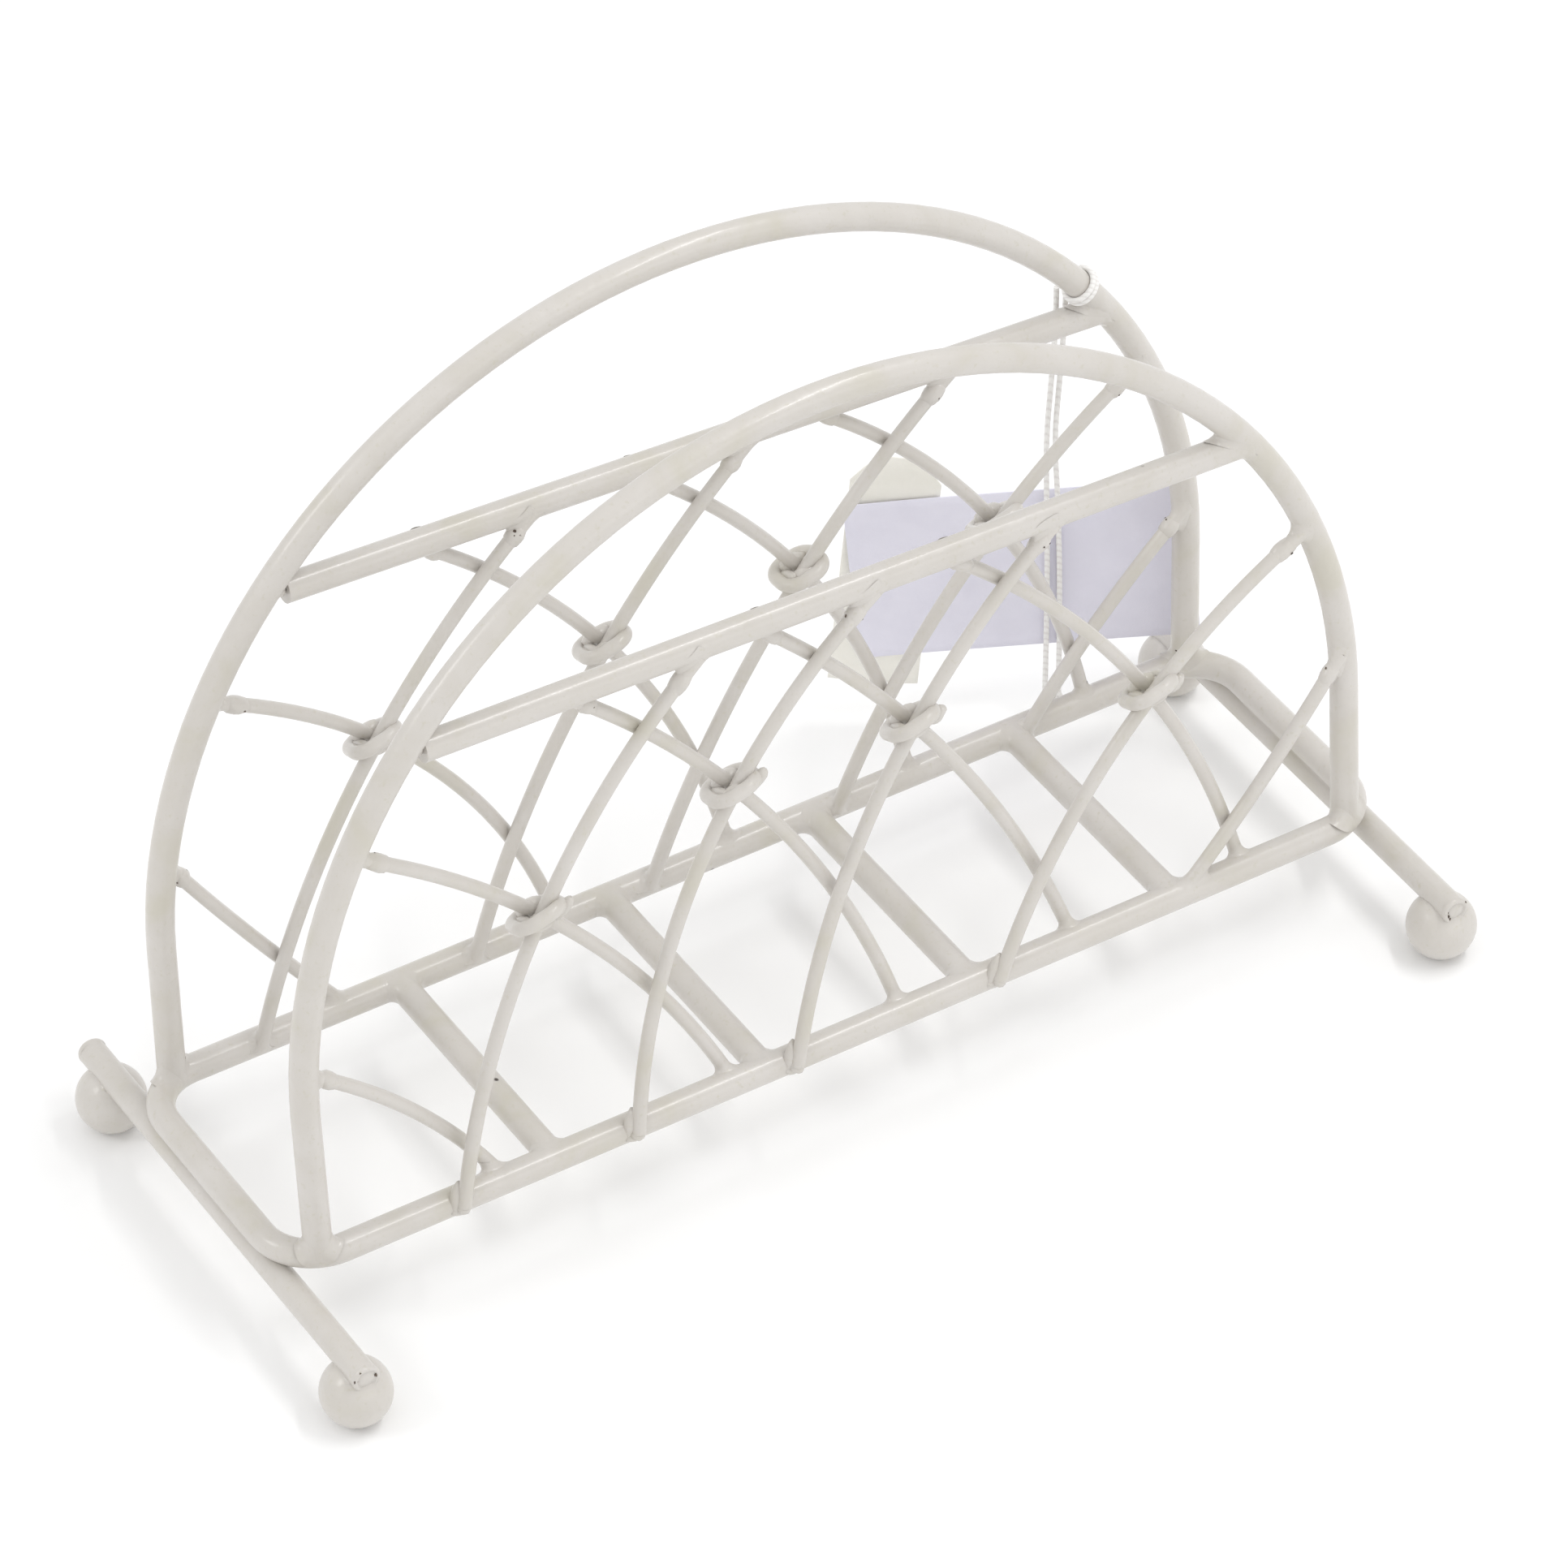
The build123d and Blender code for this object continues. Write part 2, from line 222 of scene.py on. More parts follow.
def floor_material():
    """Plain pale sweep of photographer's board, with a faint tooth."""
    nodes = Nodes("pale_floor")
    colour = nodes.ramp(nodes.noise(35, 4), [(0.3, (0.955, 0.955, 0.955)), (0.7, (0.97, 0.97, 0.97))])
    normal = nodes.bump(nodes.noise(900, 3), 0.05, 0.0002)
    return nodes.finish(colour, normal=normal, Roughness=0.85)


paint = paint_material()
pinhole = pinhole_material()
cotton = thread_material()
lilac_paper = paper_material("lilac_paper", (0.80, 0.79, 0.885), (0.765, 0.755, 0.855), 0.35)
cream_card = paper_material("cream_card", (0.90, 0.885, 0.83), (0.85, 0.835, 0.77), 0.5)

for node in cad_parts.values():
    node.data.materials.clear()
    node.data.materials.append(paint)


# ---- helpers ---------------------------------------------------------------------------
def add_piece(name, shape, material, body):
    """A new smooth piece from a bmesh, riding on a body."""
    mesh = bpy.data.meshes.new(name)
    bmesh.ops.recalc_face_normals(shape, faces=shape.faces)
    shape.to_mesh(mesh)
    shape.free()
    for face in mesh.polygons:
        face.use_smooth = True
    mesh.materials.append(material)
    piece = bpy.data.objects.new(name, mesh)
    bpy.context.collection.objects.link(piece)
    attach(piece, body)
    return piece


def add_thread(name, points, width, body):
    """A new round thread along control points, as a NURBS curve with a bevel."""
    curve = bpy.data.curves.new(name, "CURVE")
    curve.dimensions = "3D"
    curve.bevel_depth = width / 2
    curve.bevel_resolution = 5
    curve.use_fill_caps = True
    spline = curve.splines.new("NURBS")
    spline.points.add(len(points) - 1)
    for point, place in zip(spline.points, points):
        point.co = (*place, 1)
    spline.order_u = 3
    spline.use_endpoint_u = True
    spline.resolution_u = 12
    curve.materials.append(cotton)
    piece = bpy.data.objects.new(name, curve)
    bpy.context.collection.objects.link(piece)
    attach(piece, body)
    return piece


def bridge_rings(shape, rings, closed=True):
    """Faces between each ring of vertices and the next."""
    count = len(rings[0])
    for low, high in zip(rings, rings[1:]):
        for index in range(count if closed else count - 1):
            after = (index + 1) % count
            shape.faces.new((low[index], low[after], high[after], high[index]))


def square_to(along):
    """Two unit directions square to a direction and to each other."""
    side = along.orthogonal().normalized()
    return side, along.cross(side)


def spoke(sides, turn):
    """The direction at an angle round a pair of square directions."""
    return sides[0] * math.cos(turn) + sides[1] * math.sin(turn)


def sizes_mm(*sizes):
    """Sizes given in millimetres, in metres."""
    return tuple(size * MM for size in sizes)


def box_of(node):
    """The lowest and highest corners of a CAD node."""
    low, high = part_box(node)
    return Vector(low), Vector(high)


def middle_of_cut(node, point, normal):
    """Middle of the cut that a plane makes through a wire's CAD mesh."""
    cut = bmesh.new()
    cut.from_mesh(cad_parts[node].data)
    everything = cut.verts[:] + cut.edges[:] + cut.faces[:]
    found = bmesh.ops.bisect_plane(cut, geom=everything, plane_co=point, plane_no=normal)
    corners = [item.co.copy() for item in found["geom_cut"] if isinstance(item, bmesh.types.BMVert)]
    cut.free()
    return sum(corners, Vector()) / len(corners)


def wire_end(node, along, near=3.5 * MM, far=6.5 * MM):
    """(end point on the axis, direction into the wire) at a wire's end that faces -along.

    Near and far say how far inside the end the two cuts are that give the direction.
    """
    lowest = min((vertex.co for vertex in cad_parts[node].data.vertices), key=along.dot)
    first = middle_of_cut(node, lowest + along * near, along)
    second = middle_of_cut(node, lowest + along * far, along)
    inward = (second - first).normalized()
    return first - inward * near, inward


class Rod:
    """A short straight stretch of main wire: a point on its axis, its direction and radius."""

    def __init__(self, point, direction):
        self.point = Vector(point)
        self.direction = Vector(direction).normalized()
        self.radius = MAIN_R

    def off_axis(self, place):
        """The part of the way from the rod's axis to a place that is square to the axis."""
        offset = place - self.point
        return offset - self.direction * offset.dot(self.direction)

    def first_hit(self, start, heading):
        """Where a ray meets the rod's surface, or comes nearest to it."""
        across = self.off_axis(start)
        slope = heading - self.direction * heading.dot(self.direction)
        square = slope.dot(slope)
        half = across.dot(slope)
        under = half * half - square * (across.dot(across) - self.radius**2)
        travel = (-half - math.sqrt(max(under, 0))) / square
        return start + heading * travel


class Arch:
    """The half circle of an arch's centreline, from its CAD box."""

    def __init__(self, name):
        low, high = box_of(f"{name}_arch")
        self.radius = high.x - MAIN_R
        self.foot = Vector((0, low.y + MAIN_R, RING_Z))
        top = Vector((0, high.y - MAIN_R, high.z - MAIN_R))
        self.up = (top - self.foot).normalized()
        self.centre = top - self.up * self.radius
        self.normal = X.cross(self.up)

    def rod_at(self, place):
        """The stretch of arch wire beside a place."""
        outward = place - self.centre
        outward -= self.normal * outward.dot(self.normal)
        outward.normalize()
        return Rod(self.centre + outward * self.radius, self.normal.cross(outward))


# ---- beads, pits and webs of paint -------------------------------------------------------
AROUND = 36  # vertices round a web or an end cap
STEPS = 7  # rows of faces across a web or a seam

# Each web's reach, in radii of its wire, and how much further it reaches into the sharp
# side of the joint, as a share of that.
FOOT_WEB = (1.6, 1.3)
HEAD_WEB = (1.8, 1.5)
CHORD_WEB = (0.75, 1.2)
LEG_WEB = (1.0, 0.5)
BAR_WEB = (0.85, 0)
WEB_ON_ROD = 0.8  # reach over the rod, as a share of the reach up the wire
TWO_LOBES = 0.16  # how uneven the reach is round a web, twice and
THREE_LOBES = 0.1  # three times round
EDGE_SINK = 0.04  # a web's upper edge is buried this deep, in radii of its wire
ROD_SINK = 0.985  # its lower edge lies this far out, in radii of the rod
CORNER_LIFT = 0.03  # the hollow's corner stands this far off both, in radii of its wire
RAY_START = 5  # rays down to the rod start this far up the wire, in its radii
SHORTEST_WAY = 0.05  # a way out shorter than this gives no direction along the rod's surface

LUMP_ROUGH = 0.14  # how uneven a bead is, as a share of its size
LUMP_GRAIN = 1.4  # dents across a bead
LUMP_SPREAD = 40  # beads draw their dents from a cube of noise this wide

PIT_DEPTH = 0.05 * MM
PIT_SIZE = (0.13, 0.26)  # mm
PIT_REACH = 0.9  # pits lie within this many mm of a bead's middle, along it
RIM_PITS = 6
RIM_PIT_DEPTH = 0.09 * MM
RIM_PIT_SIZE = (0.16, 0.34)  # mm
RIM_GROOVE = (1.3, 1.8)  # mm from the bar's axis
RIM_GROOVE_FLOOR = 0.12  # mm above the bar's cut end


def add_web(shape, end, inward, radius, rod, web):
    """A hollow-cornered collar of paint round the end of a wire, down onto a rod."""
    reach, sharp = web
    sides = square_to(inward)
    lean = rod.direction * inward.dot(rod.direction)
    phase = RNG.uniform(0, math.tau)
    rings = [[] for _ in range(STEPS + 1)]
    start = end + inward * (RAY_START * radius)
    for index in range(AROUND):
        angle = math.tau * index / AROUND
        out = spoke(sides, angle)
        corner = rod.first_hit(start + out * radius, -inward)
        normal = rod.off_axis(corner).normalized()
        away = out - normal * out.dot(normal)
        away = away.normalized() if away.length > SHORTEST_WAY else out
        wobble = TWO_LOBES * math.sin(2 * angle + phase) + THREE_LOBES * math.sin(3 * angle - phase)
        size = radius * reach * (1 + wobble) * (1 + sharp * max(0, out.dot(lean)))
        on_wire = corner + inward * size - out * (EDGE_SINK * radius)
        on_rod = corner + away * size * WEB_ON_ROD
        sunk = rod.off_axis(on_rod)
        on_rod += sunk.normalized() * (rod.radius * ROD_SINK - sunk.length)
        corner = corner + (out + normal) * (CORNER_LIFT * radius)
        for step, ring in enumerate(rings):
            share = step / STEPS
            place = on_wire.lerp(corner, share).lerp(corner.lerp(on_rod, share), share)
            ring.append(shape.verts.new(place))
    bridge_rings(shape, rings)


def add_lump(shape, centre, along, sizes, rough=LUMP_ROUGH, rows=9, around=16):
    """A smooth uneven bead of paint: sizes are its half length along, then its two radii."""
    along = along.normalized()
    side, other = square_to(along)
    shift = Vector((RNG.random(), RNG.random(), RNG.random())) * LUMP_SPREAD
    rings = []
    for row in range(1, rows):
        slope = math.pi * row / rows
        ring = []
        for index in range(around):
            turn = math.tau * index / around
            spot = Vector((math.cos(slope), math.sin(slope) * math.cos(turn),
                           math.sin(slope) * math.sin(turn)))
            swell = 1 + rough * noise.noise(spot * LUMP_GRAIN + shift)
            place = along * spot.x * sizes[0] + side * spot.y * sizes[1] + other * spot.z * sizes[2]
            ring.append(shape.verts.new(centre + place * swell))
        rings.append(ring)
    bridge_rings(shape, rings)
    shape.faces.new(rings[0])
    shape.faces.new(rings[-1])


def add_pit(shape, spot, out, depth, size, width):
    """One small dark pit; its ragged outline is size by width."""
    add_lump(shape, spot, out, (depth, size, width), rough=0.5, rows=5, around=9)


def add_pits(shape, centre, along, radius, count):
    """Small dark pits on the surface of a bead."""
    sides = square_to(along)
    for _ in range(count):
        out = spoke(sides, RNG.uniform(0, math.tau))
        spot = centre + along * RNG.uniform(-PIT_REACH, PIT_REACH) * MM + out * radius
        size = RNG.uniform(*PIT_SIZE) * MM
        add_pit(shape, spot, out, PIT_DEPTH, size, size * RNG.uniform(0.6, 1.3))


def add_rim_pits(shape, centre, outward):
    """Dark pits in the groove of an end cap, where the paint has shrunk back."""
    sides = square_to(outward)
    for _ in range(RIM_PITS):
        out = spoke(sides, RNG.uniform(0, math.tau))
        spot = centre + (out * RNG.uniform(*RIM_GROOVE) + outward * RIM_GROOVE_FLOOR) * MM
        size = RNG.uniform(*RIM_PIT_SIZE) * MM
        add_pit(shape, spot, outward, RIM_PIT_DEPTH, size, size * RNG.uniform(0.5, 1.2))


# ---- paint on the two panels -------------------------------------------------------------
# The bead below a wire's head, in mm: its place down the wire, its half length, and radii.
BEAD_DROP = (3.2, 4.6)
BEAD_LENGTH = (1.8, 2.8)
BEAD_WIDE = 1.3
BEAD_THICK = (1.16, 1.42)
BEAD_SKIN = 1.27 * MM  # pits lie this far from the wire's axis
BEAD_PITS = (1, 1, 2, 3)
LEG_PIT_HEIGHT = 4 * MM

# The paint in a tie, in mm from its middle: between the wires and the loop, and inside it.
TIE_BESIDE = 1.6
TIE_INSIDE = 1.8
TIE_TAIL = (-1.0, -1.6, 0.9)  # from the middle of its right side
TIE_TAIL_LENGTH = (1.2, 2.2)
TIE_TAIL_LEAN = Vector((0.55, -0.2, 0.8))


def paint_laid_foot(shape, foot, up_wire):
    """Paint that fairs the end of a laid wire into the face of the rail behind it."""
    add_lump(shape, foot - up_wire * 0.2 * MM, up_wire, sizes_mm(0.8, 1, 1))
    for side in (-1, 1):
        groove = foot + up_wire * 1.2 * MM + Vector((side * 0.75 * MM, 0.85 * MM, 0))
        add_lump(shape, groove, up_wire, sizes_mm(2.6, 0.95, 0.95))
    below = foot - up_wire * 0.8 * MM + Vector((0, 0.75 * MM, 0))
    add_lump(shape, below, X, sizes_mm(1.6, 0.8, 0.9))


def paint_head(shape, pits, node, rise, arch, chord):
    """The web at the top of a lattice wire, and the pitted bead a little below it."""
    head, down_wire = wire_end(node, -rise)
    on_arch = abs(chord.off_axis(head).length) > 3 * MAIN_R
    rod = arch.rod_at(head) if on_arch else chord
    add_web(shape, head, down_wire, THIN_R, rod, HEAD_WEB)
    bead = head + down_wire * RNG.uniform(*BEAD_DROP) * MM
    sizes = sizes_mm(RNG.uniform(*BEAD_LENGTH), BEAD_WIDE, RNG.uniform(*BEAD_THICK))
    add_lump(shape, bead, down_wire, sizes)
    add_pits(pits, bead, down_wire, BEAD_SKIN, RNG.choice(BEAD_PITS))


def paint_legs(shape, pits, name, arch):
    """The webs where an arch's legs stand on the rounded corners of the ring."""
    for sign in (-1, 1):
        corner = Vector((sign * (SIDE_X - RING_CORNER), 0, RING_Z))
        corner.y = RAIL_Y[name] + (RING_CORNER if name == "front" else -RING_CORNER)
        foot = arch.foot.copy()
        foot.x = sign * arch.radius
        outward = (foot - corner).normalized()
        bend = Rod(corner + outward * RING_CORNER, outward.cross(UP))
        add_web(shape, foot + arch.up * MAIN_R, arch.up, MAIN_R, bend, LEG_WEB)
        add_pits(pits, foot + arch.up * LEG_PIT_HEIGHT, arch.up, MAIN_R, 1)


def paint_panel(name):
    """Paint at both ends of every lattice wire of a panel, on its chord and on its legs."""
    arch = arches[name]
    shape = bmesh.new()
    pits = bmesh.new()
    rail = Rod((0, RAIL_Y[name], RING_Z), X)
    chord_left, chord_in = wire_end(f"{name}_chord", X)
    chord_right, chord_back = wire_end(f"{name}_chord", -X)
    chord = Rod(chord_left, chord_in)
    for lean, sign in (("right", 1), ("left", -1)):
        rise = Vector((sign * 0.45, 0, 0.9)).normalized()
        for index in range(LATTICE_WIRES):
            node = f"{name}_wire_{lean}_{index + 1}"
            foot, up_wire = wire_end(node, rise)
            if name == "front" and lean == "right" and index < LAID_OVER_RAIL:
                paint_laid_foot(shape, foot, up_wire)
            else:
                add_web(shape, foot, up_wire, THIN_R, rail, FOOT_WEB)
            paint_head(shape, pits, node, rise, arch, chord)
    add_web(shape, chord_right, chord_back, MAIN_R, arch.rod_at(chord_right), CHORD_WEB)
    add_lump(shape, chord_left - chord_in * 0.9 * MM, UP, sizes_mm(1.1, 0.9, 1.3))
    add_pits(pits, chord_left + chord_in * MM, chord_in, MAIN_R, 3)
    paint_legs(shape, pits, name, arch)
    add_piece(f"{name}_weld_paint", shape, paint, "rack")
    add_piece(f"{name}_weld_pinholes", pits, pinhole, "rack")


def paint_ties(name):
    """Paint that has run in between each tie and the two wires that it holds."""
    arch = arches[name]
    shape = bmesh.new()
    for index in range(TIES):
        low, high = box_of(f"{name}_tie_{index + 1}")
        middle = (low + high) / 2
        for sign in (-1, 1):
            spot = middle + arch.normal * sign * TIE_BESIDE * MM
            add_lump(shape, spot, TIE_ALONG, sizes_mm(2.2, 1.3, 1.2))
            inside = middle + TIE_ALONG * sign * TIE_INSIDE * MM
            add_lump(shape, inside, TIE_BACK, sizes_mm(2.4, 0.8, 0.8))
        if name == "front":
            tail = Vector((high.x, middle.y, middle.z)) + Vector(TIE_TAIL) * MM
            tail_sizes = sizes_mm(RNG.uniform(*TIE_TAIL_LENGTH), 0.95, 0.95)
            add_lump(shape, tail, TIE_TAIL_LEAN, tail_sizes)
    add_piece(f"{name}_tie_paint", shape, paint, "rack")


# ---- paint on the base -------------------------------------------------------------------
SEAM_ROWS = 24
SEAM_MARGIN = 5 * MM  # a seam stops this far short of each rail's centreline
SEAM_THIN = 12  # degrees round the bar that a seam fills at its ends
SEAM_SWELL = 30  # degrees more that it fills away from its ends
SEAM_TAPER = 6  # an end takes up one part in this many of the seam
SEAM_WAVER = 5  # degrees
SEAM_WAVES = 90  # to the metre
SEAM_NECK = 0.45  # how far out the hollow of the seam lies, as a share of its edges

# The skin over a bar's cut end, from the bar's side inwards: (radius, height) in mm.
CAP_PROFILE = (
    (2.0, -0.6), (2.08, -0.2), (1.98, 0.1), (1.75, 0.24), (1.5, 0.2), (1.35, 0.02), (1.2, 0.02),
    (1.05, 0.14), (0.5, 0.2),
)
CAP_WOBBLE = 0.02


def add_seam(shape, x, axis_z, start_y, end_y):
    """Paint that fills the grooves between a foot bar and the side rail lying on it."""
    for side in (-1, 1):
        rings = []
        for row in range(SEAM_ROWS + 1):
            y = start_y + (end_y - start_y) * row / SEAM_ROWS
            from_end = min(row, SEAM_ROWS - row) / SEAM_ROWS
            waver = SEAM_WAVER * noise.noise(Vector((x, y * SEAM_WAVES, side)))
            fill = math.radians(SEAM_THIN + SEAM_SWELL * min(1, SEAM_TAPER * from_end) + waver)
            edge_x = x + side * MAIN_R * math.sin(fill)
            low = Vector((edge_x, y, axis_z + MAIN_R * math.cos(fill)))
            high = Vector((edge_x, y, RING_Z - MAIN_R * math.cos(fill)))
            neck = (low + high) / 2
            neck.x = x + side * MAIN_R * SEAM_NECK * math.sin(fill)
            ring = []
            for step in range(STEPS + 1):
                share = step / STEPS
                place = low.lerp(neck, share).lerp(neck.lerp(high, share), share)
                ring.append(shape.verts.new(place))
            rings.append(ring)
        bridge_rings(shape, rings, closed=False)


def add_end_cap(shape, centre, outward):
    """A skin of paint over a bar's cut end, dished inside a soft rim."""
    sides = square_to(outward)
    rings = []
    for radius, rise in CAP_PROFILE:
        ring = []
        for index in range(AROUND):
            turn = math.tau * index / AROUND
            reach = radius * (1 + CAP_WOBBLE * math.sin(3 * turn))
            ring.append(shape.verts.new(centre + (spoke(sides, turn) * reach + outward * rise) * MM))
        rings.append(ring)
    bridge_rings(shape, rings)
    shape.faces.new(rings[-1])


def paint_foot_bar(shape, pits, side, x):
    """A bar's seams under the ring, its end caps, and the paint between it and its balls."""
    low, high = box_of(f"foot_bar_{side}")
    axis_z = low.z + MAIN_R
    ends = {"front": (Vector((x, low.y, axis_z)), -Y), "back": (Vector((x, high.y, axis_z)), Y)}
    add_seam(shape, x, axis_z, RAIL_Y["front"] + SEAM_MARGIN, RAIL_Y["back"] - SEAM_MARGIN)
    for end, outward in ends.values():
        add_end_cap(shape, end, outward)
    for place, (end, outward) in ends.items():
        ball_low, ball_high = box_of(f"ball_foot_{place}_{side}")
        ball_y = (ball_low.y + ball_high.y) / 2
        for lean in (-1, 1):
            spot = Vector((x + lean * 1.75 * MM, ball_y, axis_z - 0.9 * MM))
            add_lump(shape, spot, Y, sizes_mm(2.4, 0.8, 0.8))
        add_rim_pits(pits, end, outward)


def paint_base():
    """Webs at the cross bars, and the paint on both foot bars."""
    shape = bmesh.new()
    pits = bmesh.new()
    for index in range(CROSS_BARS):
        low, high = box_of(f"cross_bar_{index + 1}")
        for name, inward in (("front", Y), ("back", -Y)):
            rail = Rod((0, RAIL_Y[name], RING_Z), X)
            end = Vector(((low.x + high.x) / 2, RAIL_Y[name], RING_Z)) + inward * MAIN_R
            add_web(shape, end, inward, MAIN_R, rail, BAR_WEB)
    for side, sign in (("left", -1), ("right", 1)):
        paint_foot_bar(shape, pits, side, sign * SIDE_X)
    add_piece("base_weld_paint", shape, paint, "rack")
    add_piece("base_weld_pinholes", pits, pinhole, "rack")


arches = {name: Arch(name) for name in ("front", "back")}
for panel in ("front", "back"):
    paint_panel(panel)
    paint_ties(panel)
paint_base()

# ---- thread: two turns round the back arch, and two strands with frayed ends --------------
WRAP_POINTS = 14  # control points in a turn
WRAP_SPREAD = 1.15  # the turns lie this much further apart than the CAD model's
WRAP_SWELL = 1.03  # and their control points lie this much further out
FRAYS = 7
FRAY_WIDTH = 0.22 * MM
FRAY_SPREAD = (0.5, 1.3)  # mm sideways from the strand's end to a fibre's tip
FRAY_DROP = (-0.4, 1.6)  # mm down from the strand's end to a fibre's tip
FRAY_ROOT = 2.2 * MM  # a fibre starts this far up the strand

# Each strand's points, from the middle of the wrap, are those of its CAD tube.
STRANDS = {
    "thread_strand_left": (
        (-1.9, 3.1, -1.4),
        (-2.0, 3.1, -8.9),
        (-0.8, 6.1, -21.5),
        (1.0, 9.9, -33.8),
        (3.0, 12.7, -47.4),
        (3.2, 12.6, -66.0),
        (2.8, 12.6, -84.7),
    ),
    "thread_strand_right": (
        (-0.1, 3.4, -1.6),
        (-0.5, 3.2, -8.9),
        (0.4, 5.8, -21.5),
        (2.0, 9.3, -33.8),
        (4.4, 11.9, -47.4),
        (4.75, 11.65, -66.0),
        (4.6, 11.75, -85.0),
    ),
}

wrap_low, wrap_high = box_of("thread_wrap")
wrap_rod = arches["back"].rod_at((wrap_low + wrap_high) / 2)
wrap_middle = wrap_rod.point


def wind_thread():
    """The turns of thread on the back arch."""
    sides = square_to(wrap_rod.direction)
    out_to = (MAIN_R + THREAD / 2) * WRAP_SWELL
    width = WRAP_TURNS * WRAP_PITCH * WRAP_SPREAD
    count = WRAP_TURNS * WRAP_POINTS
    points = []
    for index in range(count + 1):
        out = spoke(sides, math.tau * index / WRAP_POINTS)
        slide = (index / count - 0.5) * width
        points.append(wrap_middle + out * out_to + wrap_rod.direction * slide)
    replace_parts(add_thread("thread_turns", points, THREAD, "rack"), "thread_wrap")


def add_fray(name, end, turn):
    """One fibre that springs from the end of a strand."""
    spread = spoke((X, Y), turn)
    tip = end + spread * RNG.uniform(*FRAY_SPREAD) * MM
    tip.z -= RNG.uniform(*FRAY_DROP) * MM
    root = end + spread * 0.28 * MM + UP * FRAY_ROOT
    middle = (root + tip) / 2 + spread * 0.2 * MM
    return add_thread(name, [root, middle, tip], FRAY_WIDTH, "tag")


def hang_strand(name, offsets):
    """A strand along its CAD tube, with its frayed end."""
    points = [wrap_middle + Vector(offset) * MM for offset in offsets]
    strand = add_thread(f"{name}_twist", points, THREAD, "tag")
    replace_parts(strand, name)
    for index in range(FRAYS):
        turn = math.tau * index / FRAYS
        add_fray(f"{name}_fray_{index + 1}", points[-1], turn)
    tuple(points[0])


wind_thread()
for name, offsets in STRANDS.items():
    hang_strand(name, offsets)

# ---- paper: a label and a narrow card, each a thin sheet with a slight curl --------------
YAW = math.radians(-31)
ALONG_TAG = Vector((math.cos(YAW), math.sin(YAW), 0))
TAG_FRONT = Vector((math.sin(YAW), -math.cos(YAW), 0))
STRANDS_CROSS = wrap_middle + Vector((3.96, 12.65, 0)) * MM
PAPER = 0.3 * MM
SHEET_COLUMNS = 28
SHEET_ROWS = 18
RIPPLE = 0.12 * MM
CURL_POWER = 1.4  # how much of a sheet's curl is kept for its ends
SHEET_SET_BACK = 0.05 * MM
SHEET_SHARE = 0.8  # of the paper's thickness in the CAD model


def sheet_points(middle, size, roll, behind, curl, clip):
    """Rows of places over a sheet; curl is how far its ends bend back, clip cuts its top corners."""
    along, above = sizes_mm(*middle)
    width, height = sizes_mm(*size)
    centre = STRANDS_CROSS + ALONG_TAG * along + UP * above - TAG_FRONT * behind
    roll = math.radians(roll)
    right = ALONG_TAG * math.cos(roll) + UP * math.sin(roll)
    top = UP * math.cos(roll) - ALONG_TAG * math.sin(roll)
    for row in range(SHEET_ROWS + 1):
        v = row / SHEET_ROWS - 0.5
        above_clip = max(0.0, v * height - (height / 2 - clip * MM))
        places = []
        for column in range(SHEET_COLUMNS + 1):
            u = column / SHEET_COLUMNS - 0.5
            ripple = RIPPLE * math.sin(5 * v + 3 * u)
            back = curl * MM * (4 * u * u) ** CURL_POWER + ripple + SHEET_SET_BACK
            sideways = (width - 2 * above_clip) * u
            places.append(centre + right * sideways + top * v * height - TAG_FRONT * back)
        yield places


def add_sheet(name, node, material, slot_name, **form):
    """A thin upright sheet that stands in for its CAD solid."""
    shape = bmesh.new()
    rings = [[shape.verts.new(place) for place in places] for places in sheet_points(**form)]
    bridge_rings(shape, rings, closed=False)
    piece = add_piece(name, shape, material, "tag")
    thick = piece.modifiers.new("thickness", "SOLIDIFY")
    thick.thickness = PAPER * SHEET_SHARE
    thick.offset = 0
    edge = piece.modifiers.new("soft_edge", "BEVEL")
    edge.width = 0.05 * MM
    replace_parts(piece, node)


add_sheet(
    "label_sheet", "tag_label", lilac_paper, "lilac_paper",
    middle=(-4.2, -60.2), size=(49, 28), roll=4.5, behind=PAPER / 2, curl=-0.3, clip=0,
)
add_sheet(
    "card_sheet", "tag_card", cream_card, "cream_card",
    middle=(-23.7, -60.6), size=(13, 41), roll=-5.6, behind=2.2 * PAPER, curl=0.2, clip=4,
)

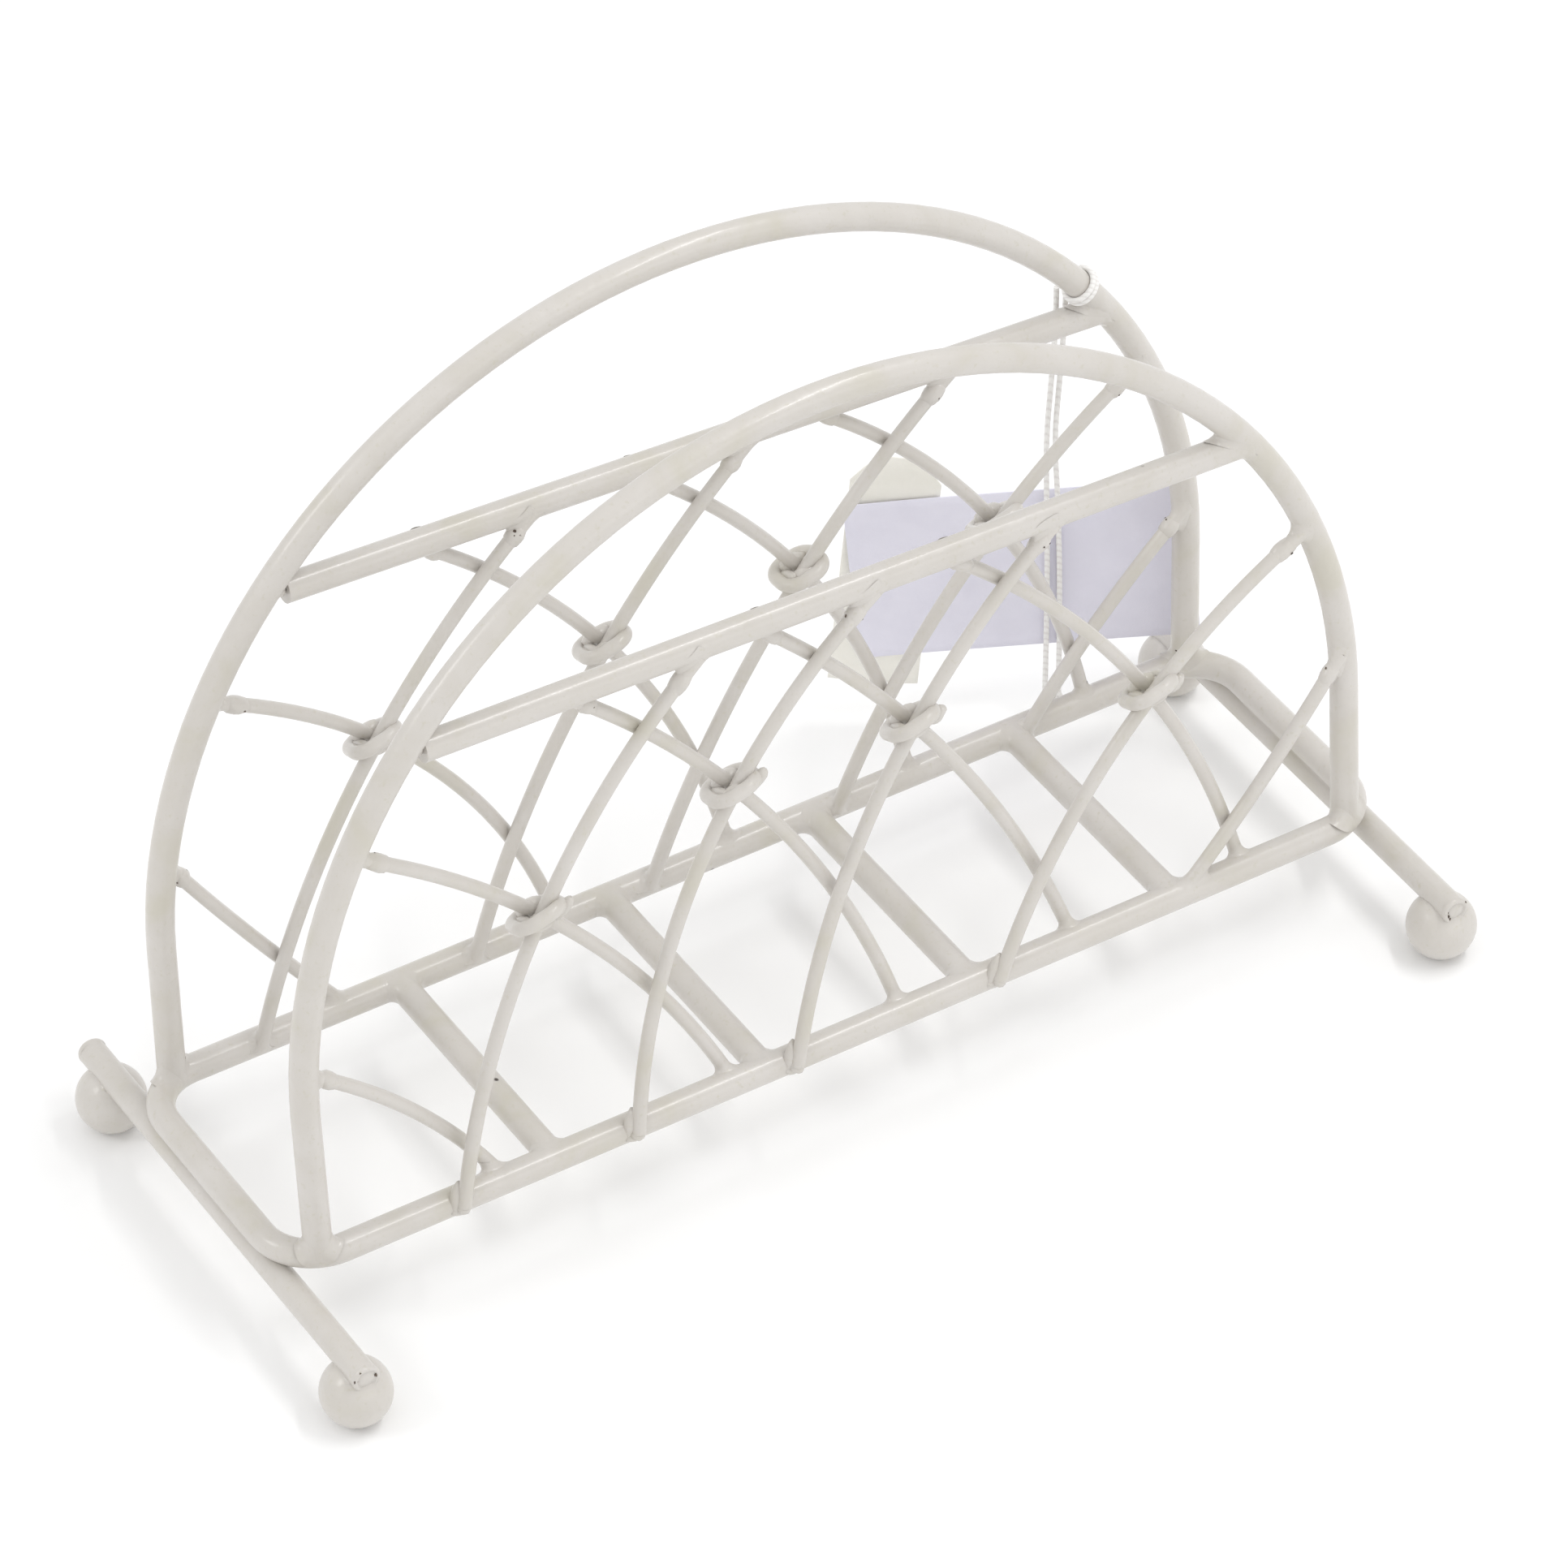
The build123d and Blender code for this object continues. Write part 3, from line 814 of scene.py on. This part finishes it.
# ---- floor, light and camera -------------------------------------------------------------
floor_mesh = bmesh.new()
bmesh.ops.create_grid(floor_mesh, x_segments=8, y_segments=8, size=6)
floor_data = bpy.data.meshes.new("floor")
floor_mesh.to_mesh(floor_data)
floor_mesh.free()
floor_data.materials.append(floor_material())
floor = bpy.data.objects.new("floor", floor_data)
bpy.context.collection.objects.link(floor)


def add_light(name, place, target, size, power):
    """A rectangular soft light that faces a target; size is its length and width."""
    light = bpy.data.lights.new(name, "AREA")
    light.shape = "RECTANGLE"
    light.size, light.size_y = size
    light.energy = power
    lamp = bpy.data.objects.new(name, light)
    lamp.location = place
    lamp.rotation_euler = (Vector(target) - Vector(place)).to_track_quat("-Z", "Y").to_euler()
    bpy.context.collection.objects.link(lamp)


TARGET = (0, 0, 0.05)
add_light("top_strip", (0.40, -0.18, 0.98), TARGET, (0.7, 0.07), 2.6)
add_light("left_window", (-0.95, 0.25, 0.85), TARGET, (0.35, 0.35), 1.7)
add_light("front_fill", (0.3, -1.3, 0.5), TARGET, (1.2, 0.6), 1.6)

world = bpy.data.worlds.new("studio")
world.use_nodes = True
world.node_tree.nodes["Background"].inputs["Color"].default_value = (1, 1, 1, 1)
world.node_tree.nodes["Background"].inputs["Strength"].default_value = 0.90
bpy.context.scene.world = world
bpy.context.scene.view_settings.view_transform = "Standard"

CAMERA_PLACE = (-0.4778, -0.7986, 0.8369)
CAMERA_AZIMUTH = 30.94
CAMERA_ELEVATION = 40.37
CAMERA_ROLL = -1.0
LENS = 207.24
camera_data = bpy.data.cameras.new("camera")
camera_data.lens = LENS
camera_data.sensor_width = 36
camera_data.clip_start = 0.05
camera_data.clip_end = 20
camera = bpy.data.objects.new("camera", camera_data)
camera.matrix_world = (
    Matrix.Translation(CAMERA_PLACE)
    @ Matrix.Rotation(math.radians(-CAMERA_AZIMUTH), 4, "Z")
    @ Matrix.Rotation(math.radians(90 - CAMERA_ELEVATION), 4, "X")
    @ Matrix.Rotation(math.radians(CAMERA_ROLL), 4, "Z")
)
bpy.context.collection.objects.link(camera)
bpy.context.scene.camera = camera
